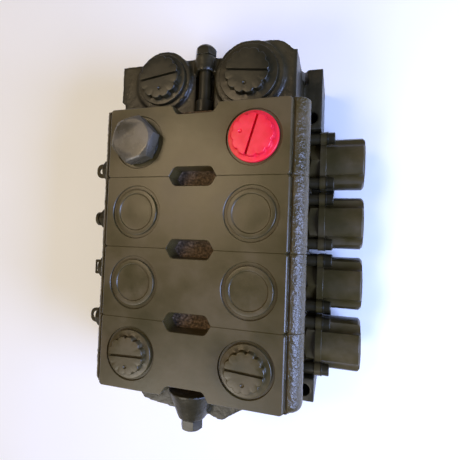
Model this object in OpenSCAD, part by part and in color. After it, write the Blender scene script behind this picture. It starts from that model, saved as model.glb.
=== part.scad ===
// Sectional spool valve for mobile hydraulics: four work sections clamped between an
// inlet section and an end plate by three tie rods, lying on its feet with the ports up.
// X runs along the spools, Y along the stack towards the inlet, Z up out of the port face.
// The origin is the centre of the four foot holes, on the plane that the feet stand on.

/* [Stack] */
// Thickness of one work section along the stack
section_pitch = 46; // [46:0.5:50]
// Height of the port face above the feet
body_h = 114; // [112:1:120]
// Half width of the machined port face
face_half = 61.3; // [60.5:0.1:62]
// Half width of the body at spool level
side_half = 66; // [65.5:0.1:66.5]
// Radius of the cast ridge beside the port face
ridge_r = 9; // [8:0.5:9.5]
// Radius of the smaller ridge on the other side
left_ridge_r = 5; // [4:0.5:6]
// Length of the inlet section along the stack
inlet_len = 39; // [38:0.5:42]
// Length of the inlet section over its port bosses
inlet_boss_len = 46; // [45:0.5:48]
// Thickness of the end plate where its rods pass
end_plate_t = 12; // [11:0.5:14]
// Thickness of the end plate at its boss and feet
end_boss_t = 17.5; // [16:0.5:20]

/* [Ports] */
// Distance of each work port from the middle of the section
port_x = 38.7; // [38:0.1:39]
// Radius of the spotface round a work port
spotface_r = 17.1; // [16.5:0.1:17.5]
// Radius of the work port thread, G1/2
port_thread_r = 10.48; // [10:0.01:10.5]
// Radius of the pressure port thread, G3/4
pressure_thread_r = 13.22; // [13:0.01:13.3]
// Radius of the tank port thread, G1
tank_thread_r = 16.62; // [16:0.01:16.7]

/* [Spools] */
// Height of the spool axis above the feet
spool_z = 28; // [28:0.5:29]
// Radius of the spool bore
spool_bore_r = 9; // [8.6:0.1:9.2]
// Radius of the spool end that sticks out of the guide bonnet
spool_end_r = 6.75; // [6.5:0.05:7]
// Thickness of the flat tang at the end of each spool
tang_t = 1.8; // [1.5:0.1:3]

/* [Spring caps] */
// Radius of the spring cap
cap_r = 19.75; // [19:0.05:20]
// End of the spring cap, from the middle of the section
cap_end_x = 106.5; // [106.5:0.5:110]
// Across flats of the hexagon collar
collar_af = 35; // [34:0.1:35.2]
// Half spacing of the four cap screws
cap_screw_half = 16.9; // [16.6:0.1:17.2]

/* [Fasteners] */
// Radius of a tie rod, M8
tie_rod_r = 4; // [3.9:0.1:4.1]
// Height of the upper tie rod above the feet
upper_rod_z = 95; // [94:0.5:96]
// Distance of a lower tie rod from the middle
lower_rod_x = 55; // [54.5:0.1:55.5]
// Height of the two lower tie rods above the feet
lower_rod_z = 54; // [53.5:0.5:55]
// Radius of a foot hole
foot_hole_r = 4.2; // [4:0.1:4.4]
// Half spacing of the foot holes across the stack
foot_hole_x = 67.6; // [67.4:0.1:68]
// Half spacing of the foot holes along the stack
foot_hole_y = 101; // [100.5:0.5:101]
// Across flats of the hexagon port plug
hex_plug_af = 27; // [24:1:27]

/* [Hidden] */
$fn = 48;

sections = [1, 2, 3, 4];
stack_half = 2 * section_pitch;
inlet_end_y = stack_half + inlet_len;
boss_end_y = stack_half + inlet_boss_len;
plate_end_y = -stack_half - end_plate_t;
plate_boss_y = -stack_half - end_boss_t;
cast = "#3b3826";
painted = "#4a4630";
steel = "#8f8f8b";
rubber = "#1b1b1a";

// Section body.
section_base_z = 4;
pad_step = 3;
ridge_x = side_half - 4;
ridge_top_z = body_h - pad_step + 1;
ridge_foot_z = 70;
side_pad_x = side_half + 1;
side_pad_half = 21.5;
spotface_depth = 1;
port_floor_z = body_h - spotface_depth;
port_thread_depth = 17;
passage_r = 6;
pocket_tip_x = 16;
pocket_flat_x = 12.5;
pocket_half_y = 6;
pocket_depth = 13;
rod_hole_r = tie_rod_r + 0.5;
annulus_r = 12.5;
annulus_x = [0, 19, port_x];
annulus_half = [5, 4, 6];

// Galleries and load checks, which run along the stack.
pressure_x = -18;
pressure_z = 66;
pressure_r = 5.5;
tank_x = 23.5;
tank_z = 62;
tank_r = 6;
check_z = pressure_z;
check_r = 8.05;
check_bore_r = check_r + 0.05;
check_bore_len = 22;
check_seat_r = 5.5;
check_len = 12;
check_lift = 3.5;
seal_wire_r = 0.95;
pressure_seal_x = -7.7;
pressure_seal_r = 18.5;
tank_seal_r = 8;

// Foot blocks.
foot_top_z = 49.5;
foot_half_x = 75;

// Inlet section.
inlet_h = 98.5;
inlet_left_x = -66;
inlet_right_x = 61;
boss_face_z = inlet_h;
inlet_face_z = inlet_h - 3;
pressure_port = [-31.6, stack_half + 24.5];
tank_port = [30.3, stack_half + 22.6];
pressure_boss_r = 21;
tank_boss_r = 23.4;
inlet_corner_r = 17;
upper_rod_x = -1.2;
rod_groove_r = 6.6;
rod_groove_end_y = stack_half + 28;
relief_y = stack_half + 26;
relief_z = 34;
relief_r = 9;
relief_af = 24;
relief_head_x = inlet_left_x - 11;
relief_poppet_x = -36;
relief_poppet_len = 8;

// End plate, nuts and washers of the tie rods.
plate_half = 63;
plate_top_z = 74;
rib_top_z = upper_rod_z - 3;
rod_boss_y = plate_end_y - 6.7;
rod_boss_r = [9.2, 16.5];
nut_af = 13;
nut_h = 6.5;
rod_washer_r = 7.3;
rod_washer_t = 1;
nut_pocket_r = 10;
lower_nut_y = boss_end_y - 12;
upper_nut_y = inlet_end_y;
cap_nut_h = 8.6;
upper_rod_end_y = upper_nut_y + 4;

// Spools and what rides on them.
running_gap = 0.03;
land_left_x = -70;
land_right_x = 80;
tail_r = 5;
tail_end_x = 96.8;
neck_r = 5.6;
spool_r = spool_bore_r - running_gap;
necks = [[-52, -46], [-30, -24.5], [-14, -6], [6, 14], [24.5, 30], [46, 52]];
guide_bore_r = spool_end_r + 0.05;
bonnet_flange_t = 9;
bonnet_end_x = -110;
bonnet_cavity_r = 12;
wiper_r = 9.5;
wiper_t = 4;
bonnet_screw_half = 15.5;

// Spring caps.
collar_end_x = 74.5;
flange_t = 4.5;
flange_r = 20.5;
ear_r = 4.7;
cap_cavity_r = 15.3;
cap_wall_t = 1.8;
collar_shank_r = 13.4;
collar_shank_x = 55;
collar_bore_r = spool_bore_r + 0.3;
collar_turns = [0, 30, 5, 27];
screw_r = 2.45;
screw_hole_r = 2.55;
screw_head_r = 4.25;
washer_t = 1;
spring_wire_r = 1.2;
spring_mean_r = 12;
seat_t = 2;
seat_r = 14.8;
outer_seat_x = tail_end_x - seat_t;
hex_x = [-125.5, -118.5];
hex_af = 17;
// Tip of each tang, and the centre and half size of its hole along X and Y.
tang_tip_x = [-136.5, -131.6, -133.4, -135.9];
tang_hole_x = [-131.4, 0, -129.9, -130.3];
tang_hole_r = [2.6, 0, 0, 3.6];
tang_window = [5.1, 8.2];
tang_corner_r = [5.5, 1, 1, 5.5];
// The second spool ends in a round stub with a groove and a tapped hole instead.
stub = 2;
stub_r = 6.4;
stub_groove_x = -128.6;
stub_thread_r = 4;
stub_thread_len = 14;

function section_y(i) = stack_half - (i - 0.5) * section_pitch;
function joint_y(i) = stack_half - i * section_pitch;

// Angle at which the line from p touches a circle of radius r round c.
function tangent_angle(c, p, r) =
  atan2(p[1] - c[1], p[0] - c[0]) + acos(r / norm(p - c));

// Helical wire along +X from 0 to len: a ring of points at each step of the coil.
module coil(mean_r, wire_r, len, turns, steps = 12, sides = 6) {
  rings = turns * steps;
  rise = (len - 2 * wire_r) / rings;
  points = [for (k = [0:rings], s = [0:sides - 1])
    let (a = 360 * k / steps, b = 360 * s / sides, r = mean_r + wire_r * cos(b))
    [wire_r + k * rise + wire_r * sin(b), r * cos(a), r * sin(a)]];
  walls = [for (k = [0:rings - 1], s = [0:sides - 1])
    let (a = k * sides, n = (s + 1) % sides)
    [a + s, a + sides + s, a + sides + n, a + n]];
  first = [for (s = [0:sides - 1]) s];
  last = [for (s = [sides - 1:-1:0]) rings * sides + s];
  polyhedron(points, concat(walls, [first, last]), convexity = 8);
}

// Profile in X and Z, carried along Y from y0 to y1.
module along_y(y0, y1) {
  translate([0, y1, 0]) rotate([90, 0, 0]) linear_extrude(y1 - y0) children();
}

module rod_x(x0, x1, r) {
  translate([x0, 0, 0]) rotate([0, 90, 0]) cylinder(h = x1 - x0, r = r);
}

module rod_y(y0, y1, r) {
  translate([0, y1, 0]) rotate([90, 0, 0]) cylinder(h = y1 - y0, r = r);
}

module at_section(i) {
  translate([0, section_y(i), spool_z]) children();
}

module at_corners(half) {
  for (sy = [-1, 1], sz = [-1, 1]) translate([0, sy * half, sz * half]) children();
}

module at_lower_rods() {
  for (s = [-1, 1]) translate([s * lower_rod_x, 0, lower_rod_z]) children();
}

// A circle with flutes cut into its edge, as on a screw-in port plug.
module fluted_circle(r, flutes, flute_r) {
  difference() {
    circle(r = r);
    for (k = [0:flutes - 1])
      rotate((k + 0.5) * 360 / flutes) translate([r + 0.55 * flute_r, 0]) circle(r = flute_r, $fn = 24);
  }
}

// Screw-in plug with a flange, a fluted head, a screwdriver slot and a small dimple,
// which lies on the side of the slot that side gives.
module fluted_plug(flange, head, shank, shank_len, flange_h, head_h, slot_angle, side = -1) {
  difference() {
    union() {
      cylinder(h = flange_h, r = flange);
      linear_extrude(flange_h + head_h) fluted_circle(head, 12, 2.2 * head / 12);
      translate([0, 0, -shank_len]) cylinder(h = shank_len, r = shank);
    }
    translate([0, 0, flange_h + head_h]) rotate(slot_angle) {
      cube([1.86 * head, 1.7, 3.2], center = true);
      translate([0, side * 0.56 * head, 0]) sphere(r = 1.4);
    }
  }
}

module section_profile() {
  foot = [side_half, ridge_foot_z];
  for (s = [-1, 1]) mirror([s < 0 ? 1 : 0, 0]) {
    r = s < 0 ? left_ridge_r : ridge_r;
    c = [ridge_x, ridge_top_z - r];
    a = tangent_angle(c, foot, r);
    translate(c) circle(r = r);
    polygon([[0, section_base_z], [side_half, section_base_z], foot,
             c + r * [cos(a), sin(a)], c, [0, c[1]]]);
    translate([0, c[1] - 1]) square([face_half, body_h - c[1] + 1]);
  }
}

module pocket(y) {
  translate([0, y, body_h - pocket_depth]) linear_extrude(pocket_depth + 1)
    polygon([[-pocket_tip_x, 0], [-pocket_flat_x, -pocket_half_y], [pocket_flat_x, -pocket_half_y],
             [pocket_tip_x, 0], [pocket_flat_x, pocket_half_y], [-pocket_flat_x, pocket_half_y]]);
}

module seal_ring(x, z, r) {
  translate([x, 0, z]) rotate([90, 0, 0]) rotate_extrude()
    translate([r, 0]) circle(r = seal_wire_r, $fn = 24);
}

module seal_groove(x, z, r) {
  translate([x, 0, z]) rotate([90, 0, 0]) difference() {
    cylinder(h = 2 * seal_wire_r, r = r + seal_wire_r + 0.05);
    translate([0, 0, -1]) cylinder(h = 2 * seal_wire_r + 2, r = r - seal_wire_r - 0.05);
  }
}

module section_body(i) {
  y0 = joint_y(i);
  y1 = joint_y(i - 1);
  yc = section_y(i);
  color(cast) difference() {
    union() {
      along_y(y0, y1) section_profile();
      translate([-side_pad_x, yc - side_pad_half, section_base_z])
        cube([2 * side_pad_x, 2 * side_pad_half, spool_z + side_pad_half - section_base_z]);
    }
    // Work ports and the passages under them.
    for (s = [-1, 1]) translate([s * port_x, yc, 0]) {
      translate([0, 0, port_floor_z]) cylinder(h = spotface_depth + 1, r = spotface_r);
      translate([0, 0, port_floor_z - port_thread_depth]) cylinder(h = body_h, r = port_thread_r);
      translate([0, 0, spool_z]) cylinder(h = port_floor_z - spool_z, r = passage_r);
    }
    // Spool bore, its annular grooves and the seat of the collar.
    at_section(i) {
      rod_x(-side_pad_x - 1, side_pad_x + 1, spool_bore_r);
      for (s = [-1, 1], k = [0:2])
        rod_x(s * annulus_x[k] - annulus_half[k], s * annulus_x[k] + annulus_half[k], annulus_r);
      rod_x(collar_shank_x, side_pad_x + 1, collar_shank_r + 0.05);
      at_corners(cap_screw_half) rod_x(side_pad_x - 10, side_pad_x + 1, screw_hole_r);
      at_corners(bonnet_screw_half) rod_x(-side_pad_x - 1, -side_pad_x + 10, screw_hole_r);
    }
    // Tie rods, galleries and the load check, all along the stack.
    translate([upper_rod_x, 0, upper_rod_z]) rod_y(y0 - 1, y1 + 1, rod_hole_r);
    at_lower_rods() rod_y(y0 - 1, y1 + 1, rod_hole_r);
    translate([pressure_x, 0, pressure_z]) rod_y(y0 - 1, y1 + 1, pressure_r);
    translate([tank_x, 0, tank_z]) rod_y(y0 - 1, y1 + 1, tank_r);
    translate([0, 0, check_z]) {
      rod_y(y1 - check_bore_len, y1 + 1, check_bore_r);
      rod_y(yc - 8, y1 - 1, check_seat_r);
    }
    translate([pressure_x, yc - 4, check_z]) rod_x(0, -pressure_x, 3.5);
    translate([0, y1 - check_bore_len + 9, spool_z]) cylinder(h = check_z - spool_z, r = 3.5);
    translate([0, y1, 0]) {
      seal_groove(pressure_seal_x, pressure_z, pressure_seal_r);
      seal_groove(tank_x, tank_z, tank_seal_r);
    }
    pocket(y0);
    pocket(y1);
  }
}

module feet_profile(y0, y1) {
  translate([-foot_half_x, y0]) square([2 * foot_half_x, y1 - y0]);
}

// Foot holes, carried up to top_z so that a bolt can be dropped in beside the body.
module foot_holes(y, top_z) {
  for (s = [-1, 1]) translate([s * foot_hole_x, y, -1]) cylinder(h = top_z + 2, r = foot_hole_r);
}

// Plan of the inlet's upper body: a plain block with one round corner beside the tank port.
module inlet_plan() {
  corner = [inlet_right_x - inlet_corner_r, boss_end_y - inlet_corner_r];
  translate([inlet_left_x, stack_half]) square([inlet_right_x - inlet_left_x, inlet_len - 1]);
  translate([inlet_left_x, stack_half]) square([upper_rod_x - inlet_left_x, inlet_len]);
  translate(corner) circle(r = inlet_corner_r);
  translate([tank_port[0], stack_half]) square([corner[0] - tank_port[0], inlet_boss_len]);
  translate([corner[0], stack_half]) square([inlet_corner_r, corner[1] - stack_half]);
}

// The round bosses of the two ports, cut off at the joint with the first section.
module inlet_bosses() {
  intersection() {
    for (b = [[pressure_port, pressure_boss_r], [tank_port, tank_boss_r]])
      translate([b[0][0], b[0][1], foot_top_z - 1]) cylinder(h = boss_face_z - foot_top_z + 1, r = b[1]);
    translate([inlet_left_x, stack_half, 0]) cube([2 * foot_half_x, 2 * inlet_boss_len, inlet_h]);
  }
}

module inlet_section() {
  color(cast) difference() {
    union() {
      translate([0, 0, section_base_z]) linear_extrude(inlet_face_z - section_base_z) inlet_plan();
      linear_extrude(foot_top_z) feet_profile(stack_half, boss_end_y);
      inlet_bosses();
      translate([upper_rod_x, 0, upper_rod_z]) rod_y(rod_groove_end_y, inlet_end_y, rod_groove_r + 0.6);
    }
    translate([pressure_port[0], pressure_port[1], 0]) {
      translate([0, 0, boss_face_z - 20]) cylinder(h = 21, r = pressure_thread_r);
      translate([0, 0, pressure_z - 8]) cylinder(h = 40, r = 12);
    }
    translate([tank_port[0], tank_port[1], 0]) {
      translate([0, 0, boss_face_z - 22]) cylinder(h = 23, r = tank_thread_r);
      translate([0, 0, tank_z - 8]) cylinder(h = 40, r = 13);
    }
    translate([pressure_x, 0, pressure_z]) rod_y(stack_half - 1, pressure_port[1], pressure_r);
    translate([tank_x, 0, tank_z]) rod_y(stack_half - 1, tank_port[1], tank_r);
    // Bore and open groove for the upper tie rod, and spotfaces for the lower nuts.
    translate([upper_rod_x, 0, upper_rod_z]) {
      rod_y(stack_half - 1, boss_end_y + 1, rod_hole_r);
      rod_y(stack_half - 1, rod_groove_end_y, rod_groove_r);
    }
    at_lower_rods() {
      rod_y(stack_half - 1, boss_end_y + 1, rod_hole_r);
      rod_y(lower_nut_y, boss_end_y + 1, nut_pocket_r);
    }
    translate([0, relief_y, relief_z]) {
      rod_x(inlet_left_x - 20, -28, relief_r + 0.05);
      rod_x(-foot_half_x - 1, inlet_left_x, 17);
      rod_x(-28.5, pressure_x + 1, 3);
    }
    translate([pressure_x, relief_y - 2, relief_z]) cylinder(h = pressure_z - relief_z, r = 3);
    foot_holes(foot_hole_y, inlet_h);
  }
}

// Plan of the end plate's rib, with a cast lug beside the boss of the upper rod.
module rib_plan() {
  translate([0, -stack_half])
    polygon([[-45, 0], [-42.5, -10.2], [-39.5, -14.2], [-32, -15.7], [-21.2, -16.8], [-9, -18],
             [9.5, -17.6], [11.4, -18.6], [16, -20], [19.5, -19.8], [21.3, -18.2], [24.2, -16.3],
             [32.7, -10.6], [46, -2], [46, 0]]);
}

module end_plate() {
  color(cast) difference() {
    union() {
      linear_extrude(foot_top_z) feet_profile(plate_boss_y, -stack_half);
      translate([-plate_half, plate_end_y, 0]) cube([2 * plate_half, end_plate_t, plate_top_z]);
      linear_extrude(rib_top_z) rib_plan();
      // Boss of the upper rod, which widens towards the last section.
      translate([upper_rod_x, -stack_half, upper_rod_z]) rotate([90, 0, 0])
        cylinder(h = -stack_half - rod_boss_y, r1 = rod_boss_r[1], r2 = rod_boss_r[0]);
    }
    translate([upper_rod_x, 0, upper_rod_z]) rod_y(rod_boss_y - 3, -stack_half + 1, rod_hole_r);
    at_lower_rods() {
      rod_y(plate_boss_y - 1, -stack_half + 1, rod_hole_r);
      rod_y(plate_boss_y - 3, plate_end_y, nut_pocket_r);
    }
    foot_holes(-foot_hole_y, plate_top_z);
    translate([0, -stack_half, 0]) {
      seal_groove(pressure_seal_x, pressure_z, pressure_seal_r);
      seal_groove(tank_x, tank_z, tank_seal_r);
    }
  }
}

module tie_rods() {
  out = rod_washer_t + nut_h - 0.4;
  color(steel) {
    translate([upper_rod_x, 0, upper_rod_z]) {
      rod_y(rod_boss_y - out, upper_rod_end_y, tie_rod_r);
      // Shoulder that the first section rests against.
      rod_y(stack_half + 0.5, stack_half + 8.3, tie_rod_r + 1.8);
    }
    at_lower_rods() rod_y(plate_end_y - out, lower_nut_y + out, tie_rod_r);
  }
}

// Plain nut along Y with its corners turned off at the outer face.
module nut(y0, dir) {
  corner_r = nut_af / sqrt(3);
  translate([0, y0, 0]) rotate([dir > 0 ? -90 : 90, 0, 0]) difference() {
    intersection() {
      cylinder(h = nut_h, r = corner_r, $fn = 6);
      union() {
        cylinder(h = nut_h - 1.2, r = corner_r + 0.5);
        translate([0, 0, nut_h - 1.2]) cylinder(h = 1.2, r1 = corner_r + 0.5, r2 = nut_af / 2 - 0.3);
      }
    }
    translate([0, 0, -1]) cylinder(h = nut_h + 2, r = tie_rod_r + 0.02);
  }
}

// Domed cap nut at the inlet end of the upper rod.
module cap_nut() {
  rotate([-90, 0, 0]) difference() {
    intersection() {
      cylinder(h = cap_nut_h + 1, r = nut_af / sqrt(3), $fn = 6);
      translate([0, 0, cap_nut_h - 8.2]) sphere(r = 8.2);
    }
    translate([0, 0, -1]) cylinder(h = upper_rod_end_y - upper_nut_y + 1.2, r = tie_rod_r + 0.02);
  }
}

module tie_rod_nuts() {
  color(painted) {
    translate([upper_rod_x, 0, upper_rod_z]) {
      nut(rod_boss_y - rod_washer_t, -1);
      translate([0, upper_nut_y, 0]) cap_nut();
    }
    at_lower_rods() {
      nut(plate_end_y - rod_washer_t, -1);
      nut(lower_nut_y + rod_washer_t, 1);
    }
  }
}

module rod_washer(y0) {
  difference() {
    rod_y(y0, y0 + rod_washer_t, rod_washer_r);
    rod_y(y0 - 1, y0 + rod_washer_t + 1, tie_rod_r + 0.25);
  }
}

module tie_rod_washers() {
  color(steel) {
    translate([upper_rod_x, 0, upper_rod_z]) rod_washer(rod_boss_y - rod_washer_t);
    at_lower_rods() {
      rod_washer(plate_end_y - rod_washer_t);
      rod_washer(lower_nut_y);
    }
  }
}

module section_seals() {
  color(rubber) for (i = [0:4]) translate([0, joint_y(i) - seal_wire_r, 0]) {
    seal_ring(pressure_seal_x, pressure_z, pressure_seal_r);
    seal_ring(tank_x, tank_z, tank_seal_r);
  }
}

// Outline of half a spool, radius against X: a threaded hole, the lands with a neck
// between each pair, and a thin tail.
spool_outline = concat(
  [[0, land_left_x + 14], [4.05, land_left_x + 14], [4.05, land_left_x],
   [spool_r - 0.6, land_left_x], [spool_r, land_left_x + 0.6]],
  [for (n = necks) each [[spool_r, n[0]], [neck_r, n[0]], [neck_r, n[1]], [spool_r, n[1]]]],
  [[spool_r, land_right_x - 0.6], [spool_r - 0.6, land_right_x], [tail_r, land_right_x],
   [tail_r, tail_end_x], [0, tail_end_x]]);

module spool(i) {
  color(steel) at_section(i) rotate([0, 90, 0]) rotate_extrude() polygon(spool_outline);
}

// Plan of a flat tang with two corners rounded at its tip.
module tang_plan(tip_x, corner_r) {
  w = spool_end_r - 0.05;
  translate([tip_x + corner_r, -w]) square([hex_x[0] + 1 - tip_x - corner_r, 2 * w]);
  translate([tip_x, corner_r - w]) square([corner_r + 1, 2 * (w - corner_r)]);
  for (s = [-1, 1]) translate([tip_x + corner_r, s * (w - corner_r)]) circle(r = corner_r);
}

// Flat tang with a round hole or a window for the lever linkage.
module tang(i) {
  translate([0, 0, -tang_t / 2]) linear_extrude(tang_t) difference() {
    tang_plan(tang_tip_x[i - 1], tang_corner_r[i - 1]);
    translate([tang_hole_x[i - 1], 0])
      if (tang_hole_r[i - 1] > 0) circle(r = tang_hole_r[i - 1]);
      else square(tang_window, center = true);
  }
}

// Rod end screwed into the spool: a round rod, a hexagon for the spanner, and the tang
// or round stub that the lever linkage takes hold of.
module spool_end(i) {
  corner_r = hex_af / sqrt(3);
  tip_x = tang_tip_x[i - 1];
  color(steel) at_section(i) difference() {
    union() {
      rod_x(land_left_x, land_left_x + 13, 4);
      rod_x(hex_x[1], land_left_x, spool_end_r);
      intersection() {
        translate([hex_x[0], 0, 0]) rotate([0, 90, 0])
          cylinder(h = hex_x[1] - hex_x[0], r = corner_r, $fn = 6);
        union() {
          translate([hex_x[0], 0, 0]) rotate([0, 90, 0])
            cylinder(h = 1.2, r1 = corner_r - 1.6, r2 = corner_r);
          rod_x(hex_x[0] + 1.2, hex_x[1] + 1, corner_r + 0.5);
        }
      }
      if (i == stub) {
        rod_x(tip_x, stub_groove_x, stub_r);
        rod_x(stub_groove_x, stub_groove_x + 1.2, stub_r - 1);
        rod_x(stub_groove_x + 1.2, hex_x[0] + 1, stub_r);
      }
      else tang(i);
    }
    if (i == stub) rod_x(tip_x - 1, tip_x + stub_thread_len, stub_thread_r);
  }
}

module guide_bonnet(i) {
  x0 = -side_pad_x;
  x1 = x0 - bonnet_flange_t;
  color(painted) at_section(i) difference() {
    union() {
      translate([x1, -21, -21]) cube([bonnet_flange_t, 42, 42]);
      rod_x(-88, x0, 15.5);
      translate([-98, 0, 0]) rotate([0, 90, 0]) cylinder(h = 10, r1 = 12.5, r2 = 15.5);
      rod_x(bonnet_end_x, -98, 12.5);
    }
    rod_x(-84, x0 + 1, bonnet_cavity_r);
    rod_x(bonnet_end_x - 1, x0, guide_bore_r);
    rod_x(bonnet_end_x - 1, bonnet_end_x + wiper_t, wiper_r);
    at_corners(bonnet_screw_half) rod_x(x1 - 1, x0 + 1, 2.75);
  }
}

// Socket head screw along X: the head's outer face is at x1 and the shank ends at x0.
module socket_screw(x0, x1, dir) {
  head_h = 5;
  mirror([dir < 0 ? 1 : 0, 0, 0]) difference() {
    union() {
      rod_x(x0, x1 - head_h + 1, screw_r);
      rod_x(x1 - head_h, x1 - 0.5, screw_head_r);
      translate([x1 - 0.5, 0, 0]) rotate([0, 90, 0])
        cylinder(h = 0.5, r1 = screw_head_r, r2 = screw_head_r - 0.5);
    }
    translate([x1 - 2.6, 0, 0]) rotate([0, 90, 0]) cylinder(h = 3, r = 4 / sqrt(3), $fn = 6);
  }
}

module bonnet_screws() {
  color(steel) for (i = sections) at_section(i) at_corners(bonnet_screw_half)
    socket_screw(side_pad_x - 9, side_pad_x + bonnet_flange_t + 5, -1);
}

module rod_wipers() {
  color(rubber) for (i = sections) at_section(i) difference() {
    rod_x(bonnet_end_x, bonnet_end_x + wiper_t, wiper_r);
    rod_x(bonnet_end_x - 1, bonnet_end_x + wiper_t + 1, spool_end_r + 0.05);
  }
}

module hex_collar(i) {
  corner_r = collar_af / sqrt(3);
  color(painted) at_section(i) difference() {
    union() {
      intersection() {
        rotate([collar_turns[i - 1], 0, 0]) translate([side_pad_x, 0, 0]) rotate([0, 90, 0])
          cylinder(h = collar_end_x - side_pad_x, r = corner_r, $fn = 6);
        union() {
          translate([side_pad_x, 0, 0]) rotate([0, 90, 0])
            cylinder(h = 1.4, r1 = corner_r - 2.4, r2 = corner_r);
          rod_x(side_pad_x + 1.4, collar_end_x, corner_r + 0.5);
        }
      }
      rod_x(collar_shank_x, side_pad_x + 1, collar_shank_r);
    }
    rod_x(collar_shank_x - 1, collar_end_x + 1, collar_bore_r);
  }
}

module spring_cap(i) {
  flange_x = collar_end_x + flange_t;
  color(cast) at_section(i) difference() {
    union() {
      rod_x(collar_end_x, flange_x, flange_r);
      at_corners(cap_screw_half) rod_x(collar_end_x, flange_x, ear_r);
      difference() {
        union() {
          rod_x(flange_x - 1, cap_end_x - 1.5, cap_r);
          translate([cap_end_x - 1.5, 0, 0]) rotate([0, 90, 0])
            cylinder(h = 1.5, r1 = cap_r, r2 = cap_r - 1.5);
        }
        at_corners(cap_screw_half) rod_x(flange_x, cap_end_x + 1, 6.4);
      }
    }
    rod_x(collar_end_x - 1, cap_end_x - cap_wall_t, cap_cavity_r);
    at_corners(cap_screw_half) rod_x(collar_end_x - 1, flange_x + 1, 2.75);
  }
}

module at_cap_screws() {
  for (i = sections) at_section(i) at_corners(cap_screw_half) children();
}

module cap_screws() {
  head_x = collar_end_x + flange_t + washer_t;
  color(painted) at_cap_screws() socket_screw(side_pad_x - 9, head_x + 5, 1);
}

module cap_washers() {
  x0 = collar_end_x + flange_t;
  color(steel) at_cap_screws() difference() {
    rod_x(x0, x0 + washer_t, 4.9);
    rod_x(x0 - 1, x0 + washer_t + 1, 2.7);
  }
}

module screw_sleeves() {
  color(painted) at_cap_screws() difference() {
    rod_x(side_pad_x, collar_end_x, 4.1);
    rod_x(side_pad_x - 1, collar_end_x + 1, 2.7);
  }
}

module centring_spring(i) {
  x0 = collar_end_x + seat_t;
  color(steel) at_section(i) translate([x0, 0, 0])
    coil(spring_mean_r, spring_wire_r, outer_seat_x - x0, 4);
}

module inner_spring_seats() {
  color(steel) for (i = sections) at_section(i) difference() {
    rod_x(collar_end_x, collar_end_x + seat_t, seat_r);
    rod_x(collar_end_x - 1, collar_end_x + seat_t + 1, collar_bore_r);
  }
}

// Flanged nut on the spool's tail that carries the outer end of the spring.
module outer_spring_seat(i) {
  color(steel) at_section(i) difference() {
    union() {
      rod_x(outer_seat_x, tail_end_x, seat_r);
      translate([outer_seat_x - 6, 0, 0]) rotate([0, 90, 0]) cylinder(h = 6.5, r = 15 / sqrt(3), $fn = 6);
    }
    rod_x(outer_seat_x - 7, tail_end_x + 1, tail_r + 0.01);
  }
}

// Cup-shaped check poppet; its nose rests on the seat at the bottom of its bore.
module load_check(i) {
  y0 = joint_y(i - 1) - check_bore_len;
  color(steel) translate([0, y0, check_z]) difference() {
    union() {
      rod_y(1, check_len, check_r);
      translate([0, 1, 0]) rotate([90, 0, 0]) cylinder(h = 1, r1 = check_r, r2 = check_r - 1.6);
    }
    rod_y(4, check_len + 1, 6.2);
    for (k = [0:3]) rotate([0, 45 + 90 * k, 0]) translate([0, 7, 0]) rod_x(5, 9, 1.5);
  }
}

module load_check_springs() {
  color(steel) for (i = sections)
    translate([0, joint_y(i - 1) - check_bore_len + 4, check_z]) rotate([0, 0, 90])
      coil(5, 0.6, check_bore_len - 4, 5);
}

module at_port(i, s) {
  translate([s * port_x, section_y(i), port_floor_z]) children();
}

module hex_plug() {
  corner_r = hex_plug_af / sqrt(3);
  head_h = 9.5;
  color(painted) at_port(1, -1) {
    translate([0, 0, 1.5]) intersection() {
      rotate(14) cylinder(h = head_h, r = corner_r, $fn = 6);
      union() {
        cylinder(h = head_h - 2, r = corner_r + 0.4);
        translate([0, 0, head_h - 2]) cylinder(h = 2.01, r1 = corner_r + 0.4, r2 = hex_plug_af / 2 - 1);
      }
    }
    translate([0, 0, -13]) cylinder(h = 14.6, r = port_thread_r - 0.1);
  }
}

module hex_plug_washer() {
  color(steel) at_port(1, -1) difference() {
    cylinder(h = 1.5, r = 14.2);
    translate([0, 0, -1]) cylinder(h = 4, r = port_thread_r);
  }
}

module red_plug() {
  color("#f04a5e") at_port(1, 1) fluted_plug(15.6, 12.4, port_thread_r - 0.1, 12, 2.4, 4.2, 74, 1);
}

module disc_caps() {
  color(cast) for (i = [2, 3], s = [-1, 1]) at_port(i, s) difference() {
    union() {
      cylinder(h = 1.5, r = 15);
      translate([0, 0, -11]) cylinder(h = 11.5, r = port_thread_r - 0.1);
    }
    translate([0, 0, 1]) cylinder(h = 2, r = 11.8);
  }
}

module port_plugs() {
  color(cast) for (s = [-1, 1]) at_port(4, s)
    fluted_plug(15.5, 12, port_thread_r - 0.1, 12, 2.4, 4.2, s < 0 ? 2 : -4);
}

module pressure_plug() {
  color(cast) translate([pressure_port[0], pressure_port[1], boss_face_z])
    fluted_plug(17.6, 14.5, pressure_thread_r - 0.1, 14, 2.4, 4.6, 8);
}

module tank_plug() {
  color(cast) translate([tank_port[0], tank_port[1], boss_face_z])
    fluted_plug(19.5, 14.5, tank_thread_r - 0.1, 14, 2.4, 4.6, -7);
}

module at_relief() {
  translate([0, relief_y, relief_z]) children();
}

module relief_cartridge() {
  color(steel) at_relief() difference() {
    union() {
      translate([relief_head_x, 0, 0]) rotate([0, 90, 0])
        cylinder(h = inlet_left_x - relief_head_x, r = relief_af / sqrt(3), $fn = 6);
      rod_x(inlet_left_x - 1, -30, relief_r);
    }
    rod_x(relief_head_x - 1, -33, 5);
    rod_x(-34, -29, 2.5);
  }
}

module relief_poppet() {
  color(steel) at_relief() {
    rod_x(relief_poppet_x - relief_poppet_len + 3, relief_poppet_x + 1, 4.95);
    translate([relief_poppet_x + 1, 0, 0]) rotate([0, 90, 0]) cylinder(h = 2, r1 = 4.95, r2 = 3);
  }
}

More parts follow.
